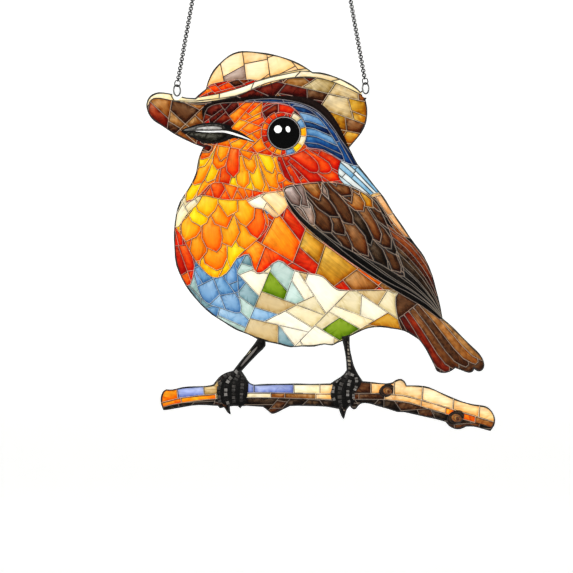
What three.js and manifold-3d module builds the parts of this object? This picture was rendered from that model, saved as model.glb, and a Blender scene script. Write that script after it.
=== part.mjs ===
// A hanging suncatcher: a flat sheet of clear acrylic, cut to the outline of a round songbird in a
// brimmed hat that stands on a branch. Two wire rings pass through ears at the hat's brim, and one
// fine link chain runs from ring to ring over a hook.
// Millimetres, +Z up. The picture faces -Y. The origin is the top of the hook, where the chain rests.
import * as THREE from "three";
import { mergeVertices } from "three/addons/utils/BufferGeometryUtils.js";
import Module from "manifold-3d";

// The acrylic panel
const panelHeight = 190; // from the underside of the branch to the top of the hat
const panelThickness = 2;

// The ears that the rings hang in
const ringHoleDiameter = 2.9;
const earWall = 1; // acrylic left around each hole

// The wire rings
const ringWire = 0.8;
const ringInnerDiameter = 4.6;
const ringClearance = 0.14; // between the ring's wire and the edge of its hole
const ringSpareTurn = THREE.MathUtils.degToRad(2); // beyond the least turn that lets the wire through

// The chain
const chainWire = 0.57;
const linkOuterDiameter = 2.3;
const endLinkInnerLength = 2.6;
const endLinkClearance = 0.3; // between the sides of an end link and the ring inside it
const linkOverlap = 0.04; // links of one piece sink this far into each other where they touch
const bentLinkOverlap = 0.12; // the same over the hook
const pieceGap = 0.3; // between pieces that hang in each other, and where the chain is parted
const hookDiameter = 6;
const hookAbovePanel = 224; // from the top of the hat to the top of the hook
const shownLinks = 34; // links with open middles above each ring; a plain bar stands for the rest
const barShare = 0.72; // width of that bar beside a link

// Facets
const facetsPerPoint = 2; // along the cut edge, from each drawn point to the next
const linkSides = 8;
const ringSides = 20;
const ringWireSides = 8;
const holeSides = 24;

// The outline is drawn 190 high, from the panel's lower left corner, as [across, up], and is scaled
// to panelHeight. Each list is one smooth stretch, and its two ends are corners.
const drawnHeight = 190;
const outerStretches = {
  brimFront: [[0.5, 163.5], [1.3, 166], [3.5, 168.3], [7, 169.4], [11.5, 169], [16, 168], [20.5, 166.8], [25, 166.5]],
  hatBand: [[25, 166.5], [27.5, 168.8], [30.2, 171]],
  crown: [[30.2, 171], [31.3, 175], [34, 180.3], [37.8, 184.5], [42, 187.9], [46.5, 189.7], [51, 190],
    [57, 189.4], [63.5, 188.4], [70.5, 186.5], [76.5, 184], [80.5, 181.8], [83.8, 179.5]],
  brimBack: [[83.8, 179.5], [87.5, 179.3], [92.5, 178.1], [97.5, 176.3], [102, 174], [106, 171.4],
    [108.8, 168.3], [110.5, 164.5], [111.2, 160], [110.8, 155.5], [109.5, 151.5], [107, 147.3], [102, 141.5]],
  back: [[102, 141.5], [106, 134], [113, 125], [119.3, 117], [124.3, 109], [129.8, 101], [135.5, 92.8],
    [139.8, 87], [142.5, 81], [144.8, 74], [146.8, 66], [148.8, 56.5]],
  tailTop: [[148.8, 56.5], [153.5, 52.3], [158.5, 47.3], [163.5, 42.3], [167.5, 38.3], [169.5, 34.5],
    [169.5, 31.8], [168, 30], [166, 29.9], [164.5, 30.9]],
  tailEnd: [[164.5, 30.9], [163.7, 29.6], [161.8, 29], [158.5, 30], [155, 31.4]],
  tailUnderside: [[155, 31.4], [152, 29.5], [148.3, 28.9], [145.5, 30], [144.3, 32.8], [140.5, 40.3], [136.8, 45.5]],
  vent: [[136.8, 45.5], [133.5, 47.8], [129.5, 49.9], [123.5, 51], [117.5, 51.9], [111.5, 51.2],
    [106.5, 49.3], [102.3, 47.3]],
  rightLegBack: [[102.3, 47.3], [102.5, 41.5], [103.3, 37], [104.3, 33], [106.3, 29], [108.8, 25]],
  branchBehind: [[108.8, 25], [114, 24.5], [120.5, 24], [123.5, 24.4]],
  upperKnot: [[123.5, 24.4], [125.5, 25.7], [128, 26.1], [129.9, 24.8], [130.8, 23]],
  branchTail: [[130.8, 23], [136.5, 22.9], [142, 22], [147, 19.8], [152, 17.5], [158, 15.1], [164.5, 13.4],
    [169.5, 12.7], [172, 11.5], [174, 9], [175, 6], [174.5, 2.8], [172.5, 0]],
  branchEnd: [[172.5, 0], [168.5, 1], [164, 2.1], [160.5, 2.2]],
  lowerKnot: [[160.5, 2.2], [157.5, 0.9], [154.5, 1], [151.8, 2.4], [150, 4.5]],
  branchUnderTail: [[150, 4.5], [145.5, 5.9], [140, 6.9], [133.5, 8.5], [129.5, 9.4], [126, 9.4],
    [121.5, 10.9], [116, 12.5], [112, 13.6], [108.3, 13.7], [106.5, 12.5], [105.3, 11], [103.8, 10.9], [102.3, 12.5]],
  rightClawBack: [[102.3, 12.5], [100.8, 10.5], [100, 7.5], [99.2, 5.3]],
  rightClawFront: [[99.2, 5.3], [97.8, 8], [96.8, 11]],
  branchUnderBelly: [[96.8, 11], [90.5, 12], [81.5, 12.5], [72.5, 12.4]],
  stub: [[72.5, 12.4], [68.5, 10.6], [65.5, 9], [63.3, 8.5], [61, 10.3], [58.8, 12]],
  branchByLeftFoot: [[58.8, 12], [53.5, 12.4], [48.5, 12.3], [47.6, 11.1], [46.3, 12.3], [42.4, 12.3]],
  leftClawBack: [[42.4, 12.3], [42.5, 10], [43.7, 7.3]],
  leftClawFront: [[43.7, 7.3], [40.8, 9.5], [39.3, 11.7], [37.4, 11.2], [36.3, 12.5]],
  branchFront: [[36.3, 12.5], [30.5, 12.9], [23.5, 12.6], [16.5, 11.5], [11, 10.4], [9, 10.3]],
  branchCutEnd: [[9, 10.3], [7.9, 13.5], [7.8, 17], [9, 20], [10.5, 21]],
  branchTop: [[10.5, 21], [13.5, 20.9], [18.5, 22], [24.5, 22.5], [30.5, 22.7], [34, 23.3]],
  leftToes: [[34, 23.3], [35.5, 25.3], [37.8, 27.9], [40.8, 29.5], [44, 30.3]],
  leftLegFront: [[44, 30.3], [47.8, 35.3], [51.8, 40.3], [55, 44.3], [56, 45.9]],
  breast: [[56, 45.9], [51.5, 48.1], [45.5, 50.5], [39.5, 54.1], [33.5, 58], [27.5, 63.3], [22.5, 69.3],
    [18.5, 75.5], [15.5, 83], [14.5, 91], [14.4, 100], [15.3, 108.5], [17.3, 114.5], [20.3, 119.5],
    [23.3, 124.3], [25.3, 129], [26, 133.5], [26.8, 137], [29, 141.8]],
  brimUnderside: [[29, 141.8], [24.3, 143.4], [17.5, 146.8], [12.8, 149.4], [7.8, 152.8], [4.3, 155.1],
    [1.7, 158.3], [0.5, 161.8], [0.5, 163.5]],
};
const gapBetweenLegs = {
  leftLegBack: [[60.5, 44.3], [60.3, 42.3], [57, 39], [52.8, 34.5], [48.5, 30]],
  leftHeel: [[48.5, 30], [50.3, 27.3], [52.3, 24.5], [54.5, 23.5]],
  branchMiddle: [[54.5, 23.5], [61.5, 23.8], [72.5, 24], [82.5, 23.9], [92.5, 24]],
  rightToes: [[92.5, 24], [95.5, 26.1], [98.8, 28.4], [100.5, 30.5]],
  rightLegFront: [[100.5, 30.5], [100.3, 34.5], [99.5, 39.5], [98.5, 44.8]],
  belly: [[98.5, 44.8], [96.5, 44], [93.5, 42.5], [89.5, 43], [84.5, 42], [78.5, 42], [72.5, 41.6],
    [67.5, 43], [60.5, 44.3]],
};
// Where each ring's hole is, and where its ear is rooted in the hat.
const ears = {
  left: { hole: [15.9, 167.5], root: [15.9, 165] },
  right: { hole: [110.2, 168.6], root: [107.2, 166.6] },
};

const wasm = await Module();
wasm.setup();

// Colours and finishes
const acrylic = new THREE.MeshStandardMaterial({ color: 0xd9933f, roughness: 0.08, metalness: 0, name: "printed acrylic" });
const steel = new THREE.MeshStandardMaterial({ color: 0xb4b4b2, roughness: 0.25, metalness: 1, name: "ring steel" });
const darkSteel = new THREE.MeshStandardMaterial({ color: 0x6f6f6e, roughness: 0.3, metalness: 1, name: "chain steel" });

// From the drawing to the part: the hook is midway between the two holes, and above the hat.
const scale = panelHeight / drawnHeight;
const hookAcross = (ears.left.hole[0] + ears.right.hole[0]) / 2;
function place([across, up]) {
  return new THREE.Vector3((across - hookAcross) * scale, 0, (up - drawnHeight) * scale - hookAbovePanel);
}

// A closed mesh as a manifold-3d solid, and back.
function toSolid(geometry) {
  const bare = new THREE.BufferGeometry();
  bare.setAttribute("position", geometry.getAttribute("position"));
  if (geometry.index) bare.setIndex(geometry.index);
  const merged = mergeVertices(bare, 1e-4);
  return new wasm.Manifold(new wasm.Mesh({
    numProp: 3,
    vertProperties: merged.attributes.position.array,
    triVerts: new Uint32Array(merged.index.array),
  }));
}

function toGeometry(solid) {
  const mesh = solid.getMesh();
  const geometry = new THREE.BufferGeometry();
  geometry.setAttribute("position", new THREE.BufferAttribute(mesh.vertProperties, mesh.numProp));
  geometry.setIndex(new THREE.BufferAttribute(mesh.triVerts, 1));
  const flat = geometry.toNonIndexed();
  flat.computeVertexNormals();
  return flat;
}

// Stretches joined to one loop of points.
function loopOf(stretches) {
  const points = [];
  for (const stretch of Object.values(stretches)) {
    const curve = new THREE.CatmullRomCurve3(stretch.map(place), false, "centripetal");
    points.push(...curve.getPoints(facetsPerPoint * (stretch.length - 1)).slice(0, -1));
  }
  return points.map((p) => new THREE.Vector2(p.x, p.z));
}

// A shape drawn in X and Z, made as thick as said, with its middle on the plane Y = 0.
function plate(shape, thickness) {
  const geometry = new THREE.ExtrudeGeometry(shape, { depth: thickness, bevelEnabled: false, curveSegments: holeSides / 4 });
  return geometry.rotateX(Math.PI / 2).translate(0, thickness / 2, 0);
}

function disc(centre, radius, thickness) {
  return new THREE.CylinderGeometry(radius, radius, thickness, holeSides).translate(centre.x, 0, centre.z);
}

// An ear: two round ends, and the plate between them.
function ear({ hole, root }) {
  const [a, b] = [place(hole), place(root)];
  const radius = ringHoleDiameter / 2 + earWall;
  const side = new THREE.Vector3(b.z - a.z, 0, a.x - b.x).setLength(radius);
  const web = new THREE.Shape([a.clone().add(side), b.clone().add(side), b.clone().sub(side), a.clone().sub(side)]
    .map((p) => new THREE.Vector2(p.x, p.z)));
  return toSolid(disc(a, radius, panelThickness))
    .add(toSolid(disc(b, radius, panelThickness)))
    .add(toSolid(plate(web, panelThickness)));
}

function panel() {
  const shape = new THREE.Shape(loopOf(outerStretches));
  shape.holes.push(new THREE.Path(loopOf(gapBetweenLegs)));
  let solid = toSolid(plate(shape, panelThickness));
  for (const one of Object.values(ears)) solid = solid.add(ear(one));
  for (const { hole } of Object.values(ears)) {
    solid = solid.subtract(toSolid(disc(place(hole), ringHoleDiameter / 2, panelThickness * 2)));
  }
  return toGeometry(solid);
}

// How a ring hangs in its hole. turn is the angle between the ring and the panel: the least at which
// the wire slips through the hole, and a little more. up is how far the ring's centre is above the
// hole's, with the wire as high in the hole as it goes.
function ringSeat() {
  const radius = ringHoleDiameter / 2 - ringClearance;
  const turn = Math.atan2(panelThickness, 2 * radius)
    + Math.asin(ringWire / Math.hypot(2 * radius, panelThickness)) + ringSpareTurn;
  const alongRing = panelThickness / 2 / Math.sin(turn);
  const across = panelThickness / 2 / Math.tan(turn);
  let wireUp = radius;
  for (let angle = 0; angle <= Math.PI / 2; angle += Math.PI / 24) {
    const reach = across + (ringWire / 2 / Math.sin(turn)) * Math.cos(angle);
    const room = Math.sqrt(Math.max(0, radius ** 2 - reach ** 2));
    wireUp = Math.min(wireUp, room - (ringWire / 2) * Math.sin(angle));
  }
  const ringRadius = (ringInnerDiameter + ringWire) / 2;
  return { turn, ringRadius, up: wireUp + Math.sqrt(ringRadius ** 2 - alongRing ** 2) };
}

function ring(hole) {
  const { turn, ringRadius, up } = ringSeat();
  const centre = place(hole);
  return new THREE.TorusGeometry(ringRadius, ringWire / 2, ringWireSides, ringSides)
    .rotateX(Math.PI / 2)
    .rotateZ(turn)
    .translate(centre.x, 0, centre.z + up);
}

// The lowest point inside a ring's top, where its end link hangs.
function ringTop(hole) {
  const { ringRadius, up } = ringSeat();
  return place(hole).add(new THREE.Vector3(0, 0, up + ringRadius - ringWire / 2 - pieceGap));
}

// The chain's line on one side: over the hook as an arc, then straight to the ring. side is -1 or 1.
const linkInner = linkOuterDiameter / 2 - chainWire;
const pitch = 2 * linkInner + linkOverlap;
const bentPitch = 2 * linkInner + bentLinkOverlap;
const bendRadius = (hookDiameter + linkOuterDiameter) / 2;
const hookCentre = new THREE.Vector3(0, 0, -hookDiameter / 2);
function chainLine(side, end) {
  const toEnd = end.clone().sub(hookCentre);
  const wrap = Math.atan2(side * toEnd.x, toEnd.z) - Math.acos(bendRadius / toEnd.length());
  const around = (angle) => new THREE.Vector3(side * Math.sin(angle), 0, Math.cos(angle));
  const leave = hookCentre.clone().addScaledVector(around(wrap), bendRadius);
  const down = end.clone().sub(leave).normalize();
  const arc = wrap * bendRadius;
  const length = arc + end.distanceTo(leave);
  const at = (s) => {
    if (s > arc) return { point: leave.clone().addScaledVector(down, s - arc), heading: down };
    const angle = s / bendRadius;
    const heading = new THREE.Vector3(side * Math.cos(angle), 0, -Math.sin(angle));
    return { point: hookCentre.clone().addScaledVector(around(angle), bendRadius), heading };
  };
  return { arc, length, at };
}

// A closed loop with straight sides and faceted ends, flat sides at its top and bottom.
function faceted(innerWidth, innerLength, grow) {
  const half = (innerLength - innerWidth) / 2;
  const radius = (innerWidth / 2 + grow) / Math.cos(Math.PI / linkSides);
  const points = [];
  for (let i = 0; i < linkSides; i += 1) {
    const angle = ((i + 0.5) * 2 * Math.PI) / linkSides;
    points.push(new THREE.Vector2(radius * Math.cos(angle), radius * Math.sin(angle) + Math.sign(Math.sin(angle)) * half));
  }
  return points;
}

// One link in place. Face on, it lies in the panel's plane; otherwise it is turned a quarter.
function link({ point, heading }, faceOn, innerWidth = 2 * linkInner, innerLength = innerWidth) {
  const shape = new THREE.Shape(faceted(innerWidth, innerLength, chainWire));
  shape.holes.push(new THREE.Path(faceted(innerWidth, innerLength, 0)));
  const geometry = plate(shape, chainWire);
  if (!faceOn) geometry.rotateZ(Math.PI / 2);
  geometry.rotateY(Math.atan2(heading.x, heading.z));
  return toSolid(geometry.translate(point.x, point.y, point.z));
}

// The end link is as wide inside as the turned ring's wire needs.
function endLinkWidth() {
  const { turn } = ringSeat();
  return chainWire / Math.tan(turn) + ringWire / Math.sin(turn) + 2 * endLinkClearance;
}

// Links on each side of the middle one that lie on the hook.
function linksOnHook(line) {
  return Math.ceil(line.arc / bentPitch);
}

// One side of the chain, from its ring up to the hook: the end link, open links, then a bar.
function chainRun(side, hole) {
  const line = chainLine(side, ringTop(hole));
  let solid = link(line.at(line.length - endLinkInnerLength / 2), true, endLinkWidth(), endLinkInnerLength);
  let centre = line.length - endLinkInnerLength - linkOverlap - linkInner;
  for (let k = 1; k <= shownLinks; k += 1) {
    solid = solid.add(link(line.at(centre), k % 2 === 0));
    centre -= pitch;
  }
  const top = line.at(linksOnHook(line) * bentPitch + linkOuterDiameter / 2 + pieceGap).point;
  const bottom = line.at(centre + pitch - linkInner).point;
  const width = linkOuterDiameter * barShare;
  const bar = new THREE.BoxGeometry(width, width, top.distanceTo(bottom)).rotateZ(Math.PI / 4);
  const { heading } = line.at(centre);
  bar.rotateY(Math.atan2(heading.x, heading.z));
  bar.translate((top.x + bottom.x) / 2, 0, (top.z + bottom.z) / 2);
  return toGeometry(solid.add(toSolid(bar)));
}

// The links that bend over the hook. The middle one is face on, with its underside on the hook.
function chainTop() {
  const lines = [chainLine(-1, ringTop(ears.left.hole)), chainLine(1, ringTop(ears.right.hole))];
  let solid = link(lines[0].at(0), true);
  for (const line of lines) {
    for (let k = 1; k <= linksOnHook(line); k += 1) {
      solid = solid.add(link(line.at(k * bentPitch), k % 2 === 0));
    }
  }
  return toGeometry(solid);
}

const suncatcher = new THREE.Group();
function addPiece(name, geometry, material) {
  const mesh = new THREE.Mesh(geometry, material);
  mesh.name = name;
  suncatcher.add(mesh);
}

addPiece("panel", panel(), acrylic);
addPiece("left_ring", ring(ears.left.hole), steel);
addPiece("right_ring", ring(ears.right.hole), steel);
addPiece("left_chain_run", chainRun(-1, ears.left.hole), darkSteel);
addPiece("right_chain_run", chainRun(1, ears.right.hole), darkSteel);
addPiece("chain_top", chainTop(), darkSteel);

export default suncatcher;
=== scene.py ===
import math
import random

import bpy
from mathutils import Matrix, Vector, kdtree
from mathutils.geometry import delaunay_2d_cdt


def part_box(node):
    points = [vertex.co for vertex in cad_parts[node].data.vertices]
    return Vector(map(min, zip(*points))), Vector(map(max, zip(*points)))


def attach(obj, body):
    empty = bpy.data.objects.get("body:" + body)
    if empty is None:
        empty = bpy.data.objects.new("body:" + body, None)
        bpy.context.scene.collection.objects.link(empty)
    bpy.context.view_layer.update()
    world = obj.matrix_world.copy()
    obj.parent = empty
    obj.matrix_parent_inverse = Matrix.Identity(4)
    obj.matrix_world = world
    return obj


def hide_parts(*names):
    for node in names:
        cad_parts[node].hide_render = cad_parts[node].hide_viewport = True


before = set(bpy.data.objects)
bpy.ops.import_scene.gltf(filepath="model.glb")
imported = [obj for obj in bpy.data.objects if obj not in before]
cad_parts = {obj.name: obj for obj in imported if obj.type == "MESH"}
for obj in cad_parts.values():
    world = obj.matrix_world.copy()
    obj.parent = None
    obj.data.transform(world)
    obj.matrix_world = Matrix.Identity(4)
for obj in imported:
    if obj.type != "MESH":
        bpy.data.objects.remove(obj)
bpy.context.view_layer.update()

# The picture is drawn in half millimetres, x to the right and y down, with the hook at hookSpot.
unit = 0.0005
hookSpot = (270.8, -397.5)


def inMetres(x, y, depth=0.0):
    return Vector(((x - hookSpot[0]) * unit, depth, (hookSpot[1] - y) * unit))


def linear(hexColour):
    channels = [int(hexColour[i:i + 2], 16) / 255 for i in (0, 2, 4)]
    return [c / 12.92 if c <= 0.04045 else ((c + 0.055) / 1.055) ** 2.4 for c in channels]


# Shapes in the drawing

def smooth(points, closed=True, cuts=3):
    # a Catmull-Rom curve through the points
    count = len(points)
    result = []
    for i in range(count if closed else count - 1):
        if closed:
            p0, p1, p2, p3 = (points[(i + k) % count] for k in (-1, 0, 1, 2))
        else:
            p0, p1, p2, p3 = (points[min(max(i + k, 0), count - 1)] for k in (-1, 0, 1, 2))
        for step in range(cuts):
            t = step / cuts
            result.append(tuple(0.5 * (2 * b + (c - a) * t + (2 * a - 5 * b + 4 * c - d) * t * t
                                       + (3 * b - a - 3 * c + d) * t ** 3)
                                for a, b, c, d in zip(p0, p1, p2, p3)))
    if not closed:
        result.append(points[-1])
    return result


def between(a, b, t):
    return (a[0] + (b[0] - a[0]) * t, a[1] + (b[1] - a[1]) * t)


def along(line, t):
    # the point at share t of an open line's length
    lengths = [math.dist(a, b) for a, b in zip(line, line[1:])]
    left = t * sum(lengths)
    for (a, b), length in zip(zip(line, line[1:]), lengths):
        if left <= length:
            return between(a, b, left / length if length else 0)
        left -= length
    return line[-1]


def ellipse(x, y, rx, ry=None, turn=0, sides=28):
    ry = ry or rx
    c, s = math.cos(math.radians(turn)), math.sin(math.radians(turn))
    return [(x + rx * math.cos(a) * c - ry * math.sin(a) * s, y + rx * math.cos(a) * s + ry * math.sin(a) * c)
            for a in (2 * math.pi * i / sides for i in range(sides))]


def feather(root, tip, width, bend=0.0, base=0.3, tipWidth=0.55):
    # a long many-sided feather, widest near its tip; bend curves its midline
    ax, ay = tip[0] - root[0], tip[1] - root[1]
    length = math.hypot(ax, ay) or 1e-6
    ux, uy = ax / length, ay / length
    left, right = [], []
    for t, share in ((0, base), (0.28, 0.55 * base + 0.45), (0.5, 0.2 * base + 0.8), (0.68, 1.0), (0.85, 0.9),
                     (0.95, tipWidth), (1.0, tipWidth * 0.42)):
        side = bend * math.sin(math.pi * t)
        half = width / 2 * share
        x, y = root[0] + ax * t - uy * side, root[1] + ay * t + ux * side
        left.append((x - uy * half, y + ux * half))
        right.append((x + uy * half, y - ux * half))
    return left + right[::-1]


def petal(root, tip, width, fullness=0.5, bend=0.0, sides=9):
    # a leaf shape: fullness near 0.2 is blunt, near 1 is slim
    ax, ay = tip[0] - root[0], tip[1] - root[1]
    length = math.hypot(ax, ay) or 1e-6
    ux, uy = ax / length, ay / length
    left, right = [], []
    for i in range(sides + 1):
        t = 0.5 - 0.5 * math.cos(math.pi * i / sides)
        side = bend * math.sin(math.pi * t)
        half = width / 2 * max(0.0, 4 * t * (1 - t)) ** fullness
        x, y = root[0] + ax * t - uy * side, root[1] + ay * t + ux * side
        left.append((x - uy * half, y + ux * half))
        right.append((x + uy * half, y - ux * half))
    return left + right[::-1]


def cutBy(tile, spot, normal):
    # the part of a tile behind a line
    kept = []
    for a, b in zip(tile, tile[1:] + tile[:1]):
        da = (a[0] - spot[0]) * normal[0] + (a[1] - spot[1]) * normal[1]
        db = (b[0] - spot[0]) * normal[0] + (b[1] - spot[1]) * normal[1]
        if da <= 0:
            kept.append(a)
        if (da < 0 < db) or (db < 0 < da):
            kept.append(between(a, b, da / (da - db)))
    return kept


def turned(points, turn):
    c, s = math.cos(math.radians(turn)), math.sin(math.radians(turn))
    return [(x * c - y * s, x * s + y * c) for x, y in points]


tileLook = {
    "split": (1.05, 1.75), "offCentre": 0.14, "grainTurn": 30,  # how large a shard stays, and where a cut goes
    "aside": 0.16, "ahead": 0.25, "reach": (0.9, 1.15), "breadth": (1.0, 1.3), "bend": 0.1, "featherTurn": 12,
    "crooked": (0.85, 1.15), "uneven": (0.94, 1.06), "stopSpread": 0.35, "samples": 14,
}


def spread(rng, key):
    return rng.uniform(-tileLook[key], tileLook[key])


def colourFor(colours, x, y, rng):
    # colours is a palette to choose from, or a few broad zones, each with its middle and its palette
    if not isinstance(colours[0], str):
        colours = min(colours, key=lambda zone: (zone[0] - x) ** 2 + (zone[1] - y) ** 2)[2]
    return rng.choice(colours)


def shards(outline, size, colours, seed, turn=0.0, stretch=1.3, slant=22):
    # a broken-glass pattern: the area is split again and again by slanted lines
    rng = random.Random(seed)
    inner = [(x / stretch, y) for x, y in turned(outline, -turn)]
    x0, x1 = min(p[0] for p in inner), max(p[0] for p in inner)
    y0, y1 = min(p[1] for p in inner), max(p[1] for p in inner)
    waiting = [[(x0 - 3, y0 - 3), (x1 + 3, y0 - 3), (x1 + 3, y1 + 3), (x0 - 3, y1 + 3)]]
    tiles = []
    while waiting:
        tile = waiting.pop()
        width = max(p[0] for p in tile) - min(p[0] for p in tile)
        height = max(p[1] for p in tile) - min(p[1] for p in tile)
        centre = (sum(p[0] for p in tile) / len(tile), sum(p[1] for p in tile) / len(tile))
        if max(width, height) < size * rng.uniform(*tileLook["split"]):
            back = turned([(x * stretch, y) for x, y in tile], turn)
            middle = turned([(centre[0] * stretch, centre[1])], turn)[0]
            tiles.append((back, colourFor(colours, *middle, rng), turn + spread(rng, "grainTurn")))
            continue
        heading = (0 if width > height else 90) + rng.uniform(-slant, slant)
        normal = (math.cos(math.radians(heading)), math.sin(math.radians(heading)))
        spot = (centre[0] + spread(rng, "offCentre") * width, centre[1] + spread(rng, "offCentre") * height)
        for n in (normal, (-normal[0], -normal[1])):
            part = cutBy(tile, spot, n)
            if len(part) > 2:
                waiting.append(part)
    return tiles


def kite(root, tip, width, rng):
    # a straight-edged feather with a pointed, slightly crooked tip
    length = math.dist(root, tip)
    ux, uy = (tip[0] - root[0]) / length, (tip[1] - root[1]) / length
    sides = [(0.0, 0.34), (0.62, 0.5), (0.86, 0.34)]
    crooked, uneven = tileLook["crooked"], tileLook["uneven"]
    left = [(t * length, width * w * rng.uniform(*crooked)) for t, w in sides]
    right = [(t * length * rng.uniform(*uneven), -width * w * rng.uniform(*crooked)) for t, w in sides]
    local = left + [(length, width * spread(rng, "aside"))] + right[::-1]
    return [(root[0] + u * ux - v * uy, root[1] + u * uy + v * ux) for u, v in local]


def plumage(outline, rowStep, width, colours, seed, turn=90.0, length=2.1, tipWidth=0.55, centre=None, stray=0.0):
    # rows of overlapping feathers; they point along turn, or away from centre; upper rows lie over lower ones
    rng = random.Random(seed)
    inner = turned(outline, -turn)
    u0, u1 = min(p[0] for p in inner), max(p[0] for p in inner)
    v0, v1 = min(p[1] for p in inner), max(p[1] for p in inner)
    tiles = []
    for row in reversed(range(-1, int((u1 - u0) / rowStep) + 2)):
        for k in range(-1, int((v1 - v0) / width) + 3):
            v = v0 + (k + 0.5 * (row % 2) + spread(rng, "aside")) * width
            u = u0 + (row + spread(rng, "ahead")) * rowStep
            root = turned([(u, v)], turn)[0]
            heading = math.radians(turn)
            if centre:
                heading = math.atan2(root[1] - centre[1], root[0] - centre[0])
            if stray:
                heading += rng.uniform(-stray, stray)
            reach = rowStep * length * rng.uniform(*tileLook["reach"])
            tip = (root[0] + reach * math.cos(heading), root[1] + reach * math.sin(heading))
            broad = width * rng.uniform(*tileLook["breadth"])
            tiles.append((kite(root, tip, broad * 1.15, rng) if stray else
                          feather(root, tip, broad, spread(rng, "bend") * width, 0.95, tipWidth),
                          colourFor(colours, *between(root, tip, 0.75), rng),
                          math.degrees(heading) + spread(rng, "featherTurn")))
    return tiles


def bands(lineA, lineB, count, colours, seed, cross=0, wobble=0.0, ordered=False):
    # count strips that run alongside each other from lineA to lineB, each cut across into parts
    rng = random.Random(seed)
    samples = tileLook["samples"]
    edges = []
    for i in range(count + 1):
        share = i / count + (rng.uniform(-wobble, wobble) / count if 0 < i < count else 0)
        edges.append([between(along(lineA, t / samples), along(lineB, t / samples), share)
                      for t in range(samples + 1)])
    turn = math.degrees(math.atan2(lineA[-1][1] - lineA[0][1], lineA[-1][0] - lineA[0][0]))
    tiles = []
    for row, (a, b) in enumerate(zip(edges, edges[1:])):
        stops = [0.0]
        for k in range(cross):
            stops.append((k + 1 + spread(rng, "stopSpread")) / (cross + 1))
        stops.append(1.0)
        for t0, t1 in zip(stops, stops[1:]):
            steps = max(2, int((t1 - t0) * samples))
            near = [along(a, t0 + (t1 - t0) * k / steps) for k in range(steps + 1)]
            far = [along(b, t0 + (t1 - t0) * k / steps) for k in range(steps + 1)]
            colour = colours[row % len(colours)] if ordered else rng.choice(colours)
            tiles.append((near + far[::-1], colour, turn))
    return tiles


# The picture: patches in the order they are laid, each with its own tiles

patches = []


def patch(name, outline, tiles, base, line="warm", shade=1.0, grain=0.7):
    # line is the kind of line round its tiles, shade how much they darken at their edges, grain how streaky they are
    patches.append({"name": name, "outline": outline, "tiles": tiles, "base": base, "line": line, "shade": shade,
                    "grain": grain})


def shape(name, outline, colour, line="none", turn=0.0, shade=1.0, grain=0.5):
    patch(name, outline, [(outline, colour, turn)], colour, line, shade, grain)


def region(name, points, lay, *look, cuts=3):
    # a patch with a curved outline, whose tiles lay makes from that outline
    outline = smooth(points, cuts=cuts)
    patch(name, outline, lay(outline), *look)


# Palettes of plain colours, a few for each kind of area. Which tile gets which is left to the seeded choice.
glass = {
    "red": ["dc3c10", "c82c0c", "e6500f"], "orange": ["ee6c14", "e85a12", "f58a18"], "amber": ["f9a81c", "f59414"],
    "yellow": ["ffd41c", "ffc420"], "cream": ["f2e6c4", "e6d8b0", "f6eed8"], "peach": ["f8d6a0", "f6cc90", "fadcb0"],
    "blue": ["80a8cc", "98bcd8", "74a0c4"], "sea": ["a8c0bc", "8caab0", "c0d4cc"], "navy": ["1e4878", "2c649c"],
    "sand": ["d0b888", "c0aa78"], "ochre": ["c8922c", "b4801c"], "tan": ["a87038", "b08048"],
    "brown": ["7a4c28", "5e3a20"], "umber": ["3a2a1c", "4a3420"], "ink": ["12100e", "1c1814", "241e18"],
    "chestnut": ["5a2c16", "8a4620", "a8602e"], "maroon": ["641a0e", "84280f"], "grey": ["a08c84", "b49e90"],
    "green": ["7c9a20"], "lilac": ["9ca8d4"],
}


def mix(*names):
    return [colour for name in names for colour in glass[name]]


# Ground under everything, seen only in slivers between the areas
shape("ground", [(130, 40), (510, 40), (510, 440), (130, 440)], "4a3524")

# Belly and flank: pale glass, blue towards the breast and ochre towards the tail
bellyAreas = [(225, 290, mix("blue", "cream", "sea")), (310, 310, mix("cream", "sea", "sand", "green")), (390, 315,
    mix("cream", "sand", "ochre"))]
region("belly", [(168, 245), (176, 290), (200, 325), (240, 352), (300, 362), (352, 350), (425, 335), (440, 305),
    (405, 240), (300, 178), (200, 190)], lambda edge: shards(edge, 25, bellyAreas, 9, turn=34, stretch=1.3, slant=34),
    "d8caa4", "cool", 0.75, 0.35, cuts=4)
region("blue", [(192, 258), (213, 268), (234, 262), (238, 292), (240, 312), (222, 308), (206, 302), (198, 290)],
    lambda edge: shards(edge, 17, mix("blue"), 8, turn=60, stretch=1.7, slant=16), "84b2d6", "cool", 0.9, 0.3)

# Breast: red tiles, amber flank tiles, yellow and orange feathers
redAreas = [(275, 240, mix("red", "red", "orange")), (330, 265, mix("red", "ochre")), (390, 290, mix("ochre", "tan",
    "orange"))]
region("red", [(240, 214), (262, 216), (284, 204), (302, 214), (324, 232), (352, 252), (386, 272), (410, 290),
    (414, 302), (400, 300), (394, 290), (346, 290), (334, 287), (322, 276), (308, 273), (292, 269), (278, 260),
    (262, 272), (254, 270), (248, 254), (234, 258), (232, 240)], lambda edge: shards(edge, 23, redAreas, 27, turn=40,
    stretch=1.5, slant=22), "dc3a0c", "silver", 1.1, 1.5)
region("leftEdge", [(170, 216), (186, 212), (194, 232), (196, 250), (190, 284), (178, 276), (172, 250)],
    lambda edge: shards(edge, 12, mix("red", "orange"), 3, turn=80, stretch=2.0), "e8500f", "warm", 1.1, cuts=4)
goldAreas = [(215, 212, mix("amber", "yellow")), (222, 255, mix("amber", "orange", "yellow"))]
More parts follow.
